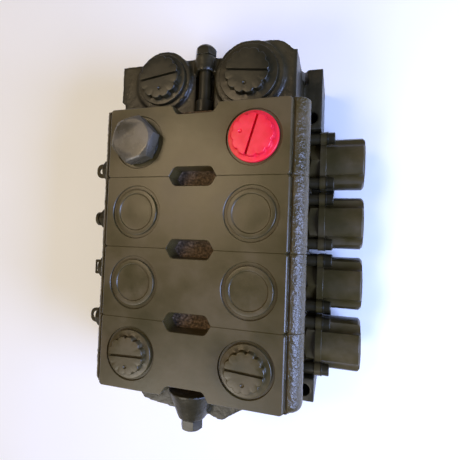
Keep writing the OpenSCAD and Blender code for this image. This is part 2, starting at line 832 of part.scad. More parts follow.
module relief_spring() {
  x0 = relief_head_x + 3;
  color(steel) at_relief() translate([x0, 0, 0])
    coil(3.6, 0.6, relief_poppet_x - relief_poppet_len + 3 - x0, 8, 10);
}

module relief_adjuster() {
  color(steel) at_relief() difference() {
    union() {
      rod_x(relief_head_x - 12, relief_head_x + 3, 4.95);
      translate([relief_head_x - 5, 0, 0]) rotate([0, 90, 0]) cylinder(h = 5, r = 17 / sqrt(3), $fn = 6);
    }
    translate([relief_head_x - 13, 0, 0]) rotate([0, 90, 0]) cylinder(h = 4, r = 4 / sqrt(3), $fn = 6);
  }
}

inlet_section();
section_body(1);  // section_body_1
section_body(2);  // section_body_2
section_body(3);  // section_body_3
section_body(4);  // section_body_4
end_plate();
tie_rods();
tie_rod_nuts();
tie_rod_washers();
section_seals();
spool(1);  // spool_1
spool(2);  // spool_2
spool(3);  // spool_3
spool(4);  // spool_4
spool_end(1);  // spool_end_1
spool_end(2);  // spool_end_2
spool_end(3);  // spool_end_3
spool_end(4);  // spool_end_4
guide_bonnet(1);  // guide_bonnet_1
guide_bonnet(2);  // guide_bonnet_2
guide_bonnet(3);  // guide_bonnet_3
guide_bonnet(4);  // guide_bonnet_4
bonnet_screws();
rod_wipers();
hex_collar(1);  // hex_collar_1
hex_collar(2);  // hex_collar_2
hex_collar(3);  // hex_collar_3
hex_collar(4);  // hex_collar_4
spring_cap(1);  // spring_cap_1
spring_cap(2);  // spring_cap_2
spring_cap(3);  // spring_cap_3
spring_cap(4);  // spring_cap_4
cap_screws();
cap_washers();
screw_sleeves();
centring_spring(1);  // centring_spring_1
centring_spring(2);  // centring_spring_2
centring_spring(3);  // centring_spring_3
centring_spring(4);  // centring_spring_4
inner_spring_seats();
outer_spring_seat(1);  // outer_spring_seat_1
outer_spring_seat(2);  // outer_spring_seat_2
outer_spring_seat(3);  // outer_spring_seat_3
outer_spring_seat(4);  // outer_spring_seat_4
load_check(1);  // load_check_1
load_check(2);  // load_check_2
load_check(3);  // load_check_3
load_check(4);  // load_check_4
load_check_springs();
hex_plug();
hex_plug_washer();
red_plug();
disc_caps();
port_plugs();
pressure_plug();
tank_plug();
relief_cartridge();
relief_poppet();
relief_spring();
relief_adjuster();
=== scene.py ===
# %% [markdown]
# # A sectional hydraulic spool valve
# Four iron work sections are clamped between an inlet section and an end plate.
# The whole stack was painted olive after assembly, so the castings, the steel
# screws and most of the plastic plugs share one colour, and only their surface
# tells them apart: sand-cast grain, milled faces, turned steel, moulded plastic.
# The CAD frame fixes every size and place. This lesson builds the visible skins
# around it, each as a surface worked out with numpy or as a finished copy.

import math

import bmesh
import bpy
import numpy as np
from mathutils import Matrix, Vector


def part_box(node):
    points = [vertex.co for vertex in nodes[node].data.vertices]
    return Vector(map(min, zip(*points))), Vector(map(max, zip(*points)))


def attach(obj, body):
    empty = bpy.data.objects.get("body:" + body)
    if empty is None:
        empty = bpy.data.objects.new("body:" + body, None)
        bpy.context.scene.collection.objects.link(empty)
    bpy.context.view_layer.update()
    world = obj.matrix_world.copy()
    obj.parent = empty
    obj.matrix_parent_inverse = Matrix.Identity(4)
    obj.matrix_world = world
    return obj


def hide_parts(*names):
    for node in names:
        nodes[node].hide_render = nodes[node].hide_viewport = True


MM = 0.001
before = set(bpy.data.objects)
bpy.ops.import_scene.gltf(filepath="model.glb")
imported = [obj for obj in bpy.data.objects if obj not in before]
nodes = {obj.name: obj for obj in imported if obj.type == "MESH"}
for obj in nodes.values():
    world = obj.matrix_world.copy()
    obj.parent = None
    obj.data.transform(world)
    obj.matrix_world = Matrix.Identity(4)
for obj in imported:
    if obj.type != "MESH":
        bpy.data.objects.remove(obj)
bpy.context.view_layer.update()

# %% [markdown]
# ## Sizes taken from the frame
# The places come from the boxes of the CAD nodes, so a skin always lands on its own
# solid. The port face is the top of the work sections, their joints are the ends of
# their boxes, and the red plug shows how far out the ports stand. The few sizes that
# no box gives, such as the half width of the milled face, are written here once.

# %% Main sizes
SECTIONS = (1, 2, 3, 4)
FACE_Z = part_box("section_body_1")[1].z
BASE_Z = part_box("section_body_1")[0].z
RIDGE_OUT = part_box("section_body_1")[1].x
SECTION_Y = {i: (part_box(f"section_body_{i}")[0].y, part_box(f"section_body_{i}")[1].y) for i in SECTIONS}
PORT_X = (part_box("red_plug")[0].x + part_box("red_plug")[1].x) / 2
PORT_FLOOR_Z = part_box("hex_plug_washer")[0].z
FACE_HALF = 61.3 * MM
SIDE_HALF = 66 * MM
SPOTFACE_R = 17.1 * MM
THREAD_R = 10.48 * MM
print("port face", FACE_Z, "ports at", PORT_X, "spotface floor", PORT_FLOOR_Z)

# %% [markdown]
# ## Small helpers
# A colour is written as the sRGB hex value a painter would read off a chart, and
# one function turns it into the linear numbers that a shader wants. A material could
# be built by hand in the shader editor, but a script can be read and run again, so
# one function adds a node, sets its inputs and links it, for every material.

# %% Colour and node helpers
def linear(hex_colour):
    """sRGB hex to linear RGBA: each channel c becomes ((c + 0.055) / 1.055) ** 2.4 above a small toe."""
    channels = [int(hex_colour[k:k + 2], 16) / 255 for k in (1, 3, 5)]
    return [c / 12.92 if c <= 0.04045 else ((c + 0.055) / 1.055) ** 2.4 for c in channels] + [1.0]


def add_node(tree, kind, settings=None, inputs=None, stops=()):
    """Adds one node. settings are its own properties; inputs are values, or sockets to link;
    stops are the (position, hex colour) pairs of a colour ramp, between 0 and 1."""
    made = tree.nodes.new(kind)
    for name, value in (settings or {}).items():
        setattr(made, name, value)
    for key, value in (inputs or {}).items():
        socket = made.inputs[key]
        if isinstance(value, bpy.types.NodeSocket):
            tree.links.new(value, socket)
        else:
            socket.default_value = value
    if stops:
        elements = made.color_ramp.elements
        for position, colour in stops:
            elements.new(position).color = linear(colour)
        # The black and white ends that every new ramp has go away.
        elements.remove(elements[0])
        elements.remove(elements[len(elements) - 1])
    return made


def new_material(name):
    """An empty node material with its output, and the tree to fill."""
    made = bpy.data.materials.new(name)
    made.use_nodes = True
    tree = made.node_tree
    tree.nodes.clear()
    return made, tree, add_node(tree, "ShaderNodeOutputMaterial")


print("helpers ready:", linear("#808080")[0])

# %% [markdown]
# ## The paint
# The real stack got one coat of satin machinery enamel after assembly. Enamel is a
# dielectric with an IOR near 1.5 and a roughness near 0.35. What lies under the coat
# shows through as relief, so one function makes every paint and only its grain
# changes: sand grain of about 1 mm on the castings, wide faint waves on the milled
# faces, almost nothing on turned steel. The tone drifts over some centimetres, where
# the coat is thin or dusty, and a noise ramp is the simplest thing that does that.

# %% Painted surfaces
FINE_GRAIN_MM = 0.35
FINE_DEPTH_MM = 0.012


def enamel(name, tones, grain_mm, grain_depth, roughness, drift_mm, speck=0.0):
    """Satin enamel. tones are (thin, usual, dusty) hex colours; grain is the relief under the coat.
    speck is how far dusty grains show through, from 0 to 1."""
    made, tree, out = new_material(name)
    thin, usual, dusty = tones
    where = add_node(tree, "ShaderNodeTexCoord").outputs["Object"]
    drift = add_node(tree, "ShaderNodeTexNoise", inputs={
        "Vector": where, "Scale": 1 / (drift_mm * MM), "Detail": 4.0, "Roughness": 0.6})
    base = add_node(tree, "ShaderNodeValToRGB", inputs={"Fac": drift.outputs["Fac"]},
                    stops=((0.36, thin), (0.50, usual), (0.66, dusty))).outputs["Color"]
    grain = add_node(tree, "ShaderNodeTexNoise", inputs={
        "Vector": where, "Scale": 1 / (grain_mm * MM), "Detail": 3.0, "Roughness": 0.55})
    fine = add_node(tree, "ShaderNodeTexNoise", inputs={
        "Vector": where, "Scale": 1 / (FINE_GRAIN_MM * MM), "Detail": 2.0})
    shine = add_node(tree, "ShaderNodeMapRange", inputs={
        "Value": drift.outputs["Fac"], "From Min": 0.3, "From Max": 0.7,
        "To Min": roughness - 0.05, "To Max": roughness + 0.08})
    if speck:
        spots = add_node(tree, "ShaderNodeMapRange", inputs={
            "Value": fine.outputs["Fac"], "From Min": 0.60, "From Max": 0.72,
            "To Min": 0.0, "To Max": speck})
        base = add_node(tree, "ShaderNodeMix", {"data_type": "RGBA"}, {
            "Factor": spots.outputs["Result"], "A": base, "B": linear(dusty)}).outputs["Result"]
    coarse = add_node(tree, "ShaderNodeBump", inputs={
        "Height": grain.outputs["Fac"], "Strength": 1.0, "Distance": grain_depth * MM})
    relief = add_node(tree, "ShaderNodeBump", inputs={
        "Height": fine.outputs["Fac"], "Strength": 1.0, "Distance": FINE_DEPTH_MM * MM,
        "Normal": coarse.outputs["Normal"]})
    shader = add_node(tree, "ShaderNodeBsdfPrincipled", inputs={
        "Base Color": base, "Roughness": shine.outputs["Result"], "IOR": 1.5,
        "Normal": relief.outputs["Normal"]})
    tree.links.new(shader.outputs["BSDF"], out.inputs["Surface"])
    return made


# Thin, usual and dusty tones of the coat, then a darker set: on the end castings and the inlet plugs it is
# painted shade for the dim light they lie in, and on the turned steel it is the darker coat of the steel
# parts.
OLIVE = ("#372f12", "#40361a", "#4c4129")
OLIVE_DARK_AND_SHADE = ("#1c190b", "#252010", "#302a17")
# On milled faces: flat, with a broad soft highlight and hardly any grain.
paint_milled = enamel("satin_enamel_on_milled_iron", OLIVE, 9, 0.07, 0.34, 34)
# On the work sections' sand-cast skin: the grain breaks the highlight into sparkles.
paint_cast = enamel("satin_enamel_on_sand_cast_iron", OLIVE, 1.2, 0.42, 0.29, 22, speck=0.25)
# On the two end castings: darker tones that are painted shade, and half the grain depth.
paint_cast_shaded = enamel("satin_enamel_on_sand_cast_iron_painted_shade", OLIVE_DARK_AND_SHADE, 1.3, 0.20, 0.36, 22, speck=0.2)
# On nuts, screws and washers: dark and smooth, with thin bright edges.
paint_turned = enamel("satin_enamel_on_turned_steel", OLIVE_DARK_AND_SHADE, 6, 0.04, 0.33, 18)
# On the spring caps: smooth with slight waves, so each can shows one long highlight.
paint_can = enamel("satin_enamel_on_die_cast_cans", OLIVE, 5, 0.05, 0.36, 18)
# On moulded plugs and discs: as on the milled faces, a little duller.
paint_plastic = enamel("satin_enamel_on_moulded_plastic", OLIVE, 5, 0.05, 0.36, 16)
# On the inlet section's two plugs: the darker tones are painted shade, as on the end castings.
paint_plastic_shaded = enamel("moulded_plastic_enamel_painted_shade", OLIVE_DARK_AND_SHADE, 5, 0.05, 0.36, 16)
# The hexagon plug stands raised and smooth: its paler tones are a painted highlight, and its lower
# roughness gives it a real gloss.
paint_hex_highlight = enamel("enamel_with_painted_highlight_on_hex_plug", ("#413b2c", "#4e483b", "#5d574c"), 7, 0.04, 0.27, 18)
paints = (paint_milled, paint_cast, paint_cast_shaded, paint_turned, paint_can, paint_plastic,
          paint_plastic_shaded, paint_hex_highlight)
print("paints:", [m.name for m in paints])

# %% [markdown]
# ## Bare finishes
# The red plug is moulded polyethylene, waxy and a little translucent, so light has to
# scatter inside it. The bottoms of the joint pockets kept the raw brown casting skin.
# Seals are nitrile rubber, spools are ground and hard-chromed, and the spool ends are
# oily phosphated steel. Each gets its own short function, since each reflects light
# in its own way.

# %% Moulded plastic
def polyethylene(name, tones):
    """Moulded polyethylene: waxy, light scatters a few tenths of a millimetre into it."""
    made, tree, out = new_material(name)
    where = add_node(tree, "ShaderNodeTexCoord").outputs["Object"]
    cloud = add_node(tree, "ShaderNodeTexNoise", inputs={
        "Vector": where, "Scale": 1 / (6 * MM), "Detail": 3.0})
    base = add_node(tree, "ShaderNodeValToRGB", inputs={"Fac": cloud.outputs["Fac"]},
                    stops=((0.35, tones[0]), (0.65, tones[1])))
    relief = add_node(tree, "ShaderNodeBump", inputs={
        "Height": cloud.outputs["Fac"], "Strength": 0.6, "Distance": 0.08 * MM})
    shader = add_node(tree, "ShaderNodeBsdfPrincipled", inputs={
        "Base Color": base.outputs["Color"], "Roughness": 0.42, "IOR": 1.51, "Subsurface Weight": 0.25,
        "Subsurface Radius": (1.0, 0.3, 0.2), "Subsurface Scale": 0.6 * MM,
        "Normal": relief.outputs["Normal"]})
    tree.links.new(shader.outputs["BSDF"], out.inputs["Surface"])
    return made


# Glows a little at thin edges, with a soft wide highlight.
red_polyethylene = polyethylene("moulded_red_polyethylene", ("#e4142f", "#ee2540"))
print(red_polyethylene.name)

# %% Raw casting skin
def raw_casting(name):
    """Unpainted sand-cast skin: brown, dry and coarse."""
    made, tree, out = new_material(name)
    where = add_node(tree, "ShaderNodeTexCoord").outputs["Object"]
    sand = add_node(tree, "ShaderNodeTexNoise", inputs={
        "Vector": where, "Scale": 1 / (1.6 * MM), "Detail": 5.0})
    base = add_node(tree, "ShaderNodeValToRGB", inputs={"Fac": sand.outputs["Fac"]},
                    stops=((0.30, "#2c2317"), (0.5, "#5a4832"), (0.7, "#86705a")))
    relief = add_node(tree, "ShaderNodeBump", inputs={
        "Height": sand.outputs["Fac"], "Strength": 1.0, "Distance": 0.5 * MM})
    shader = add_node(tree, "ShaderNodeBsdfPrincipled", inputs={
        "Base Color": base.outputs["Color"], "Roughness": 0.75, "IOR": 1.5,
        "Normal": relief.outputs["Normal"]})
    tree.links.new(shader.outputs["BSDF"], out.inputs["Surface"])
    return made


# No highlight at all, only a brown sandy speckle.
raw_iron = raw_casting("raw_sand_cast_iron")
print(raw_iron.name)

# %% Bare steel
def steel(name, tones, roughness, metallic=1.0):
    """Bare steel. The marks are noise stretched along X, drawn several times coarser than real ones."""
    made, tree, out = new_material(name)
    where = add_node(tree, "ShaderNodeTexCoord").outputs["Object"]
    stretched = add_node(tree, "ShaderNodeMapping", inputs={"Vector": where, "Scale": (6.0, 1.0, 1.0)})
    marks = add_node(tree, "ShaderNodeTexNoise", inputs={
        "Vector": stretched.outputs["Vector"], "Scale": 1 / (4.8 * MM), "Detail": 3.0})
    base = add_node(tree, "ShaderNodeValToRGB", inputs={"Fac": marks.outputs["Fac"]},
                    stops=((0.3, tones[0]), (0.7, tones[1])))
    shine = add_node(tree, "ShaderNodeMapRange", inputs={
        "Value": marks.outputs["Fac"], "To Min": roughness - 0.06, "To Max": roughness + 0.08})
    shader = add_node(tree, "ShaderNodeBsdfPrincipled", inputs={
        "Base Color": base.outputs["Color"], "Metallic": metallic, "Roughness": shine.outputs["Result"]})
    tree.links.new(shader.outputs["BSDF"], out.inputs["Surface"])
    return made


# Chrome is a near mirror, phosphate a dark oily sheen, spring wire a soft grey shine.
chromed = steel("hard_chromed_ground_steel", ("#b9b9bb", "#cfcfd1"), 0.16)
phosphated = steel("oily_phosphated_steel", ("#2a2516", "#453c22"), 0.42, metallic=0.35)
spring_wire = steel("drawn_spring_wire", ("#6a6a6c", "#8c8c8e"), 0.3)
print([m.name for m in (chromed, phosphated, spring_wire)])

# %% Rubber
def nitrile(name):
    """Moulded nitrile rubber: black with a faint grey bloom."""
    made, tree, out = new_material(name)
    where = add_node(tree, "ShaderNodeTexCoord").outputs["Object"]
    bloom = add_node(tree, "ShaderNodeTexNoise", inputs={
        "Vector": where, "Scale": 1 / (3 * MM), "Detail": 3.0})
    base = add_node(tree, "ShaderNodeValToRGB", inputs={"Fac": bloom.outputs["Fac"]},
                    stops=((0.4, "#121211"), (0.7, "#1f1e1c")))
    shader = add_node(tree, "ShaderNodeBsdfPrincipled", inputs={
        "Base Color": base.outputs["Color"], "Roughness": 0.6, "IOR": 1.52})
    tree.links.new(shader.outputs["BSDF"], out.inputs["Surface"])
    return made


# Matt and nearly black, so a seal reads as a dark line.
rubber = nitrile("matt_nitrile_rubber")
print(rubber.name)

# %% [markdown]
# ## Surfaces from numpy
# Every new skin is one grid of points: rows along one direction, columns round the
# other. It could be modelled by hand, but a formula gives each point its place at
# once. The grid function joins neighbours into quads and closes the columns into a
# ring, and a loft closes each end with a single face.

# %% Grid to mesh
def grid_faces(rows, cols):
    """Quads between neighbouring points of a rows x cols grid whose last column meets the first."""
    r, c = np.meshgrid(np.arange(rows - 1), np.arange(cols), indexing="ij")
    a = r * cols + c
    b = r * cols + (c + 1) % cols
    return np.stack([a, b, b + cols, a + cols], -1).reshape(-1, 4)


def make_mesh(name, points, quads, caps=()):
    """Puts points and quads into a new mesh with foreach_set; caps are long faces given as index lists."""
    points = np.asarray(points, np.float32).reshape(-1, 3)
    outlines = [np.asarray(quads).ravel()] + [np.asarray(cap).ravel() for cap in caps]
    loops = np.concatenate(outlines).astype(np.int32)
    sizes = np.concatenate([np.full(len(quads), 4), [len(cap) for cap in caps]]).astype(np.int32)
    mesh = bpy.data.meshes.new(name)
    mesh.vertices.add(len(points))
    mesh.vertices.foreach_set("co", points.ravel())
    mesh.loops.add(len(loops))
    mesh.loops.foreach_set("vertex_index", loops)
    mesh.polygons.add(len(sizes))
    mesh.polygons.foreach_set("loop_start", np.concatenate([[0], np.cumsum(sizes)[:-1]]).astype(np.int32))
    mesh.update(calc_edges=True)
    mesh.validate()
    return mesh


def recalculated(mesh):
    """Merges doubles, turns all faces outwards and splits long end faces into triangles,
    because a Boolean cuts a long hollow face badly."""
    work = bmesh.new()
    work.from_mesh(mesh)
    bmesh.ops.remove_doubles(work, verts=work.verts, dist=1e-6)
    bmesh.ops.recalc_face_normals(work, faces=work.faces)
    bmesh.ops.triangulate(work, faces=[f for f in work.faces if len(f.verts) > 4])
    work.to_mesh(mesh)
    work.free()
    return mesh


def loft(name, rings):
    """A closed skin through rings, an array of rows x columns x 3, with a flat face at each end."""
    rows, cols = rings.shape[:2]
    caps = (np.arange(cols)[::-1], (rows - 1) * cols + np.arange(cols))
    made = bpy.data.objects.new(name, recalculated(make_mesh(name, rings, grid_faces(rows, cols), caps)))
    bpy.context.scene.collection.objects.link(made)
    return made


print("a 3 x 4 grid has", len(grid_faces(3, 4)), "quads")

# %% [markdown]
# ## Sand-cast relief
# A casting is never flat: the sand leaves grains about a millimetre across and lumps
# of a few millimetres, all a few tenths high. A bump map would leave the outline
# straight, so the larger relief goes into the mesh. The noise is a lattice of random
# heights, blended smoothly between its corners, and gives the same skin every time.

# %% Lattice noise
def hashed(cells):
    """A repeatable random height in -1..1 for each whole-number cell, from a sine hash."""
    mixed = np.sin(cells @ np.array([127.1, 311.7, 74.7])) * 43758.5453
    return 2 * (mixed - np.floor(mixed)) - 1


def lattice_noise(points, size_mm):
    """Smooth noise: eight corner heights blended with 3t^2 - 2t^3 along each axis."""
    p = np.asarray(points) / (size_mm * MM)
    cell = np.floor(p)
    t = p - cell
    t = t * t * (3 - 2 * t)
    total = np.zeros(len(p))
    for corner in np.ndindex(2, 2, 2):
        weight = np.prod(np.where(np.array(corner) == 1, t, 1 - t), axis=1)
        total += weight * hashed(cell + np.array(corner))
    return total


def cast_relief(points, height_mm):
    """Lumps of 6, 2.2 and 1.1 mm; the small ones are the sand grains and stand out most."""
    return height_mm * MM * (0.5 * lattice_noise(points, 6) + 0.4 * lattice_noise(points, 2.2)
                             + 0.8 * lattice_noise(points, 1.1)) / 1.5


print("noise sample", lattice_noise(np.array([[0.01, 0.02, 0.03]]), 5))

# %% [markdown]
# ## Finishing a piece
# Each piece rides on a body and stands for its CAD nodes.
# Where the CAD shape is already right, a copy of its mesh is merged and bevelled,
# because no machined or cast edge is perfectly sharp, and the light along an edge is
# what makes it look solid. Holes are cut as on a machine: a cutter's shape is taken
# away from the blank with a Boolean.

# %% Piece helpers
def apply_modifiers(piece):
    """Replaces the piece's mesh with what its modifiers make of it."""
    graph = bpy.context.evaluated_depsgraph_get()
    baked = bpy.data.meshes.new_from_object(piece.evaluated_get(graph))
    piece.modifiers.clear()
    piece.data = baked
    return piece


SHARP_ANGLE = math.radians(32)


def place(piece, body, materials, replaced):
    """Materials, shading and the frame calls that every piece needs."""
    piece.data.materials.clear()
    for material in materials:
        piece.data.materials.append(material)
    piece.data.shade_smooth()
    piece.data.set_sharp_from_angle(angle=SHARP_ANGLE)
    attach(piece, body)
    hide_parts(*replaced)


def merged_copy(node, name):
    """A copy of a CAD node's mesh with its loose triangles merged and flat areas made single faces."""
    made = bpy.data.objects.new(name, nodes[node].data.copy())
    bpy.context.scene.collection.objects.link(made)
    work = bmesh.new()
    work.from_mesh(made.data)
    bmesh.ops.remove_doubles(work, verts=work.verts, dist=2e-6)
    bmesh.ops.dissolve_limit(work, angle_limit=math.radians(1.0), verts=work.verts, edges=work.edges)
    work.to_mesh(made.data)
    work.free()
    return made


def bevelled(piece, width_mm, segments=2, angle=30):
    """A rounded edge wherever two faces meet at more than angle, in degrees."""
    bevel = piece.modifiers.new("edge", "BEVEL")
    bevel.width = width_mm * MM
    bevel.segments = segments
    bevel.limit_method = "ANGLE"
    bevel.angle_limit = math.radians(angle)
    bevel.use_clamp_overlap = True
    bevel.harden_normals = True
    return piece


def boolean(piece, cutter, operation="DIFFERENCE"):
    """Cuts or joins cutter, then removes it."""
    made = piece.modifiers.new(operation.lower(), "BOOLEAN")
    made.operation = operation
    made.solver = "MANIFOLD"
    made.object = cutter
    apply_modifiers(piece)
    bpy.data.objects.remove(cutter)
    return piece


ROOT = "valve_block"

# %% [markdown]
# ## Turned shapes
# Plugs, discs and the cutters for ports and spotfaces are all turned parts. Blender's
# Screw modifier could turn a profile, but a formula of radius and height can also
# change with the angle, which flutes need. So a profile is a list of radius and
# height pairs, carried round the Z axis.

# %% Lathe
def arc(cx, cy, r, a0, a1, n):
    """n points on a circle from angle a0 to a1, in degrees, as x, y pairs."""
    t = np.radians(np.linspace(a0, a1, n))
    return np.stack([cx + r * np.cos(t), cy + r * np.sin(t)], -1)


def turned(name, profile, centre, sides=96, shape=None):
    """A closed turned solid: centre + r (cos t, sin t) + h up, for each radius r and height h.
    shape(t, r) may change the radius with the angle t, for flutes."""
    r, h = np.asarray(profile, float).T[:, :, None]
    t = np.linspace(0, 2 * math.pi, sides, endpoint=False)[None, :]
    radius = r * np.ones_like(t) if shape is None else shape(t, r)
    x, y = radius * np.cos(t), radius * np.sin(t)
    return loft(name, np.stack([x, y, h * np.ones_like(t)], -1) + np.asarray(centre, float))


print("quarter arc ends at", arc(0, 0, 1, 0, 90, 3)[-1].round(3))

# %% [markdown]
# ## The work sections
# A work section is an iron casting, milled on its joint faces and on the port face.
# Seen along the stack its outline is a box with a fat cast bead beside the port face,
# thicker on the cap side. A box with bevels can't give a bead that flows into a
# leaning wall, so one half of the outline is built from straight and round stretches,
# once for each side, and each point also knows how much sand it carries.

# %% Section outline
PAD_STEP = 3 * MM
PAD_CHAMFER = 0.8 * MM
RIGHT_RIDGE_R = 9 * MM
LEFT_RIDGE_R = 5 * MM
RIDGE_X = RIDGE_OUT - RIGHT_RIDGE_R
RIDGE_TOP_Z = FACE_Z - PAD_STEP + 1 * MM
RIDGE_FOOT_Z = 70 * MM
GROOVE_Z = 110.9 * MM
FOOT_ROUND = 3 * MM


def half_outline(ridge_r):
    """One half from the bottom middle to the top middle: foot corner, leaning side, round bead,
    groove, pad wall and chamfer. Returns points and how cast each one is, from 0 to 1."""
    ridge_z = RIDGE_TOP_Z - ridge_r
    lean = np.array([SIDE_HALF, RIDGE_FOOT_Z]) - np.array([RIDGE_X, ridge_z])
    touch = math.degrees(math.atan2(lean[1], lean[0]) + math.acos(ridge_r / np.hypot(*lean)))
    # The bead ends where the cutter's groove begins, just outside the pad wall.
    leave = math.degrees(math.acos(min((FACE_HALF + 1.9 * MM - RIDGE_X) / ridge_r, 0.5)))
    # The groove falls and rises again over a millimetre and a half.
    groove = [(FACE_HALF + 1.5 * MM, GROOVE_Z + 0.55 * MM), (FACE_HALF + 1.1 * MM, GROOVE_Z + 0.1 * MM),
              (FACE_HALF + 0.6 * MM, GROOVE_Z), (FACE_HALF + 0.2 * MM, GROOVE_Z + 0.3 * MM)]
    wall_top = (FACE_HALF, FACE_Z - PAD_CHAMFER)
    chamfer = ((FACE_HALF - 0.3 * MM, FACE_Z - 0.35 * MM), (FACE_HALF - PAD_CHAMFER, FACE_Z))
    parts = [
        (np.linspace((0, BASE_Z), (SIDE_HALF - FOOT_ROUND, BASE_Z), 30), 1),
        (arc(SIDE_HALF - FOOT_ROUND, BASE_Z + FOOT_ROUND, FOOT_ROUND, -80, 0, 5), 1),
        (np.linspace((SIDE_HALF, BASE_Z + 2 * FOOT_ROUND), (SIDE_HALF, RIDGE_FOOT_Z), 40), 1),
        (arc(RIDGE_X, ridge_z, ridge_r, touch, leave, 40), 1),
        (np.array(groove), 0.3),
        (np.linspace((FACE_HALF, FACE_Z - PAD_STEP + 0.6 * MM), wall_top, 3), 0),
        (np.array(chamfer), 0),
        (np.linspace((FACE_HALF - 3 * MM, FACE_Z), (0, FACE_Z), 12), 0),
    ]
    points = np.concatenate([p for p, _ in parts])
    cast = np.concatenate([np.full(len(p), float(c)) for p, c in parts])
    return points, cast


RIGHT, RIGHT_CAST = half_outline(RIGHT_RIDGE_R)
LEFT, LEFT_CAST = half_outline(LEFT_RIDGE_R)
OUTLINE = np.concatenate([RIGHT, (LEFT * (-1, 1))[-2:0:-1]])
OUTLINE_CAST = np.concatenate([RIGHT_CAST, LEFT_CAST[-2:0:-1]])
print("outline has", len(OUTLINE), "points")

# %% [markdown]
# The skin is that outline carried along the stack, a station every 0.7 mm, close
# enough together for the sand to show. The real joint faces were milled after
# casting, so the sand dies out towards them and their edges are only just broken.
# The last section ends the stack, and there its bead was ground to a wide round.

# %% Section skin
STATION_STEP = 0.7 * MM
EDGE_BREAK = 0.28 * MM
CORNER_BREAK = 1.3 * MM
SAND_HEIGHT_MM = 0.34
SAND_FADE = 1.2 * MM
END_ROUND = 5 * MM


def section_rings(y0, y1, round_start=False):
    """The outline at each station along Y. The end stations shrink by the edge break, the pad's
    corners are cut back at 45 degrees, and cast points move along their normals by the relief."""
    inner = np.linspace(y0 + EDGE_BREAK, y1 - EDGE_BREAK, int((y1 - y0) / STATION_STEP))
    corner = np.array([0.35, 0.7, 1.0]) * CORNER_BREAK
    stations = np.unique(np.concatenate([[y0, y1], inner, y0 + corner, y1 - corner]))
    tangent = np.roll(OUTLINE, -1, 0) - np.roll(OUTLINE, 1, 0)
    normal = np.stack([tangent[:, 1], -tangent[:, 0]], -1)
    normal /= np.linalg.norm(normal, axis=1)[:, None]
    y = stations[:, None] * np.ones(len(OUTLINE))[None]
    end = np.minimum(stations - y0, y1 - stations)[:, None]
    x = OUTLINE[None, :, 0] * np.ones_like(y)
    z = OUTLINE[None, :, 1] * np.ones_like(y)
    on_pad_corner = (OUTLINE[:, 1] > FACE_Z - PAD_STEP)[None] & (np.abs(x) > FACE_HALF - 1.5 * MM)
    x = x - np.sign(x) * np.where(on_pad_corner, np.clip(CORNER_BREAK - end, 0, None), 0)
    sand = cast_relief(np.stack([x, y, z], -1).reshape(-1, 3), SAND_HEIGHT_MM).reshape(x.shape)
    sand *= OUTLINE_CAST * np.clip(end / SAND_FADE, 0, 1)
    shrink = np.clip(EDGE_BREAK - end, 0, None)
    if round_start:
        depth = np.clip(END_ROUND - (stations - y0), 0, None)[:, None]
        wide = END_ROUND - np.sqrt(np.clip(END_ROUND ** 2 - depth ** 2, 0, None))
        shrink = np.maximum(shrink, wide * OUTLINE_CAST)
    x = x + normal[None, :, 0] * (sand - shrink)
    z = z + normal[None, :, 1] * (sand - shrink)
    return np.stack([x, y, z], -1)


print("a section has", section_rings(*SECTION_Y[1]).shape[0], "stations")

# %% [markdown]
# Three tools shape the casting as the real machine shop did. The port cutter turns
# the spotface and the thread bore in one go. The pocket cutter makes half a pocket in
# each of two neighbours, so a pocket lies across every joint. The side pads are the
# seats for the bonnets and the caps, and stand one millimetre proud of the casting.

# %% Cutters and side pads
PORT_BORE_DEPTH = 16 * MM
BREAK = 0.35 * MM
MOUTH_BREAK = 0.7 * MM
POCKET_DEPTH = 13 * MM
POCKET_TIP_X = 16 * MM
POCKET_FLAT_X = 12.4 * MM
POCKET_HALF_Y = 6 * MM
SIDE_PAD_X = 67 * MM
SIDE_PAD_TOP = 49.5 * MM
SIDE_PAD_HALF = 21.5 * MM
SIDE_PAD_BREAK = 0.4 * MM


def port_cutter(x, y):
    """Spotface and thread bore in one turned tool, with a small break at the mouth."""
    mouth_r = SPOTFACE_R + MOUTH_BREAK
    profile = [(THREAD_R, PORT_FLOOR_Z - PORT_BORE_DEPTH), (THREAD_R, PORT_FLOOR_Z - 1 * MM),
               (THREAD_R + 1 * MM, PORT_FLOOR_Z), (SPOTFACE_R, PORT_FLOOR_Z),
               (SPOTFACE_R, FACE_Z - BREAK), (mouth_r, FACE_Z + BREAK), (mouth_r, FACE_Z + 4 * MM)]
    return turned("port_cutter", profile, (x, y, 0), sides=128)


def pocket_outline(inflate, corner=2.2 * MM):
    """Plan of a joint pocket: a hexagon 32 by 12 mm. Each corner is a curve
    (1-s)^2 a + 2s(1-s) p + s^2 b from a point before the corner p to one after it."""
    tip, flat = POCKET_TIP_X + inflate, POCKET_FLAT_X + 0.4 * inflate
    half = POCKET_HALF_Y + inflate
    sharp = np.array([(tip, 0), (flat, half), (-flat, half), (-tip, 0), (-flat, -half), (flat, -half)])
    s = np.linspace(0, 1, 6)[:, None]
    points = []
    for k, p in enumerate(sharp):
        before, after = sharp[k - 1] - p, sharp[(k + 1) % 6] - p
        before, after = before / np.hypot(*before), after / np.hypot(*after)
        size = 0.3 * MM if k in (0, 3) else corner
        a, b = p + before * size, p + after * size
        points.append((1 - s) ** 2 * a + 2 * s * (1 - s) * p + s ** 2 * b)
    return np.concatenate(points)


def pocket_cutter(y):
    """The pocket's outline carried down, a little smaller at the bottom, with a broken top edge."""
    floor_z = FACE_Z - POCKET_DEPTH
    levels = ((FACE_Z + 3 * MM, BREAK), (FACE_Z + 0.01 * MM, BREAK), (FACE_Z - 0.4 * MM, 0.0),
              (floor_z + 1 * MM, -0.6 * MM), (floor_z, -1.4 * MM))
    rings = []
    for z, inflate in levels:
        plan = pocket_outline(inflate)
        rings.append(np.stack([plan[:, 0], plan[:, 1] + y, np.full(len(plan), z)], -1))
    return loft("pocket_cutter", np.array(rings))


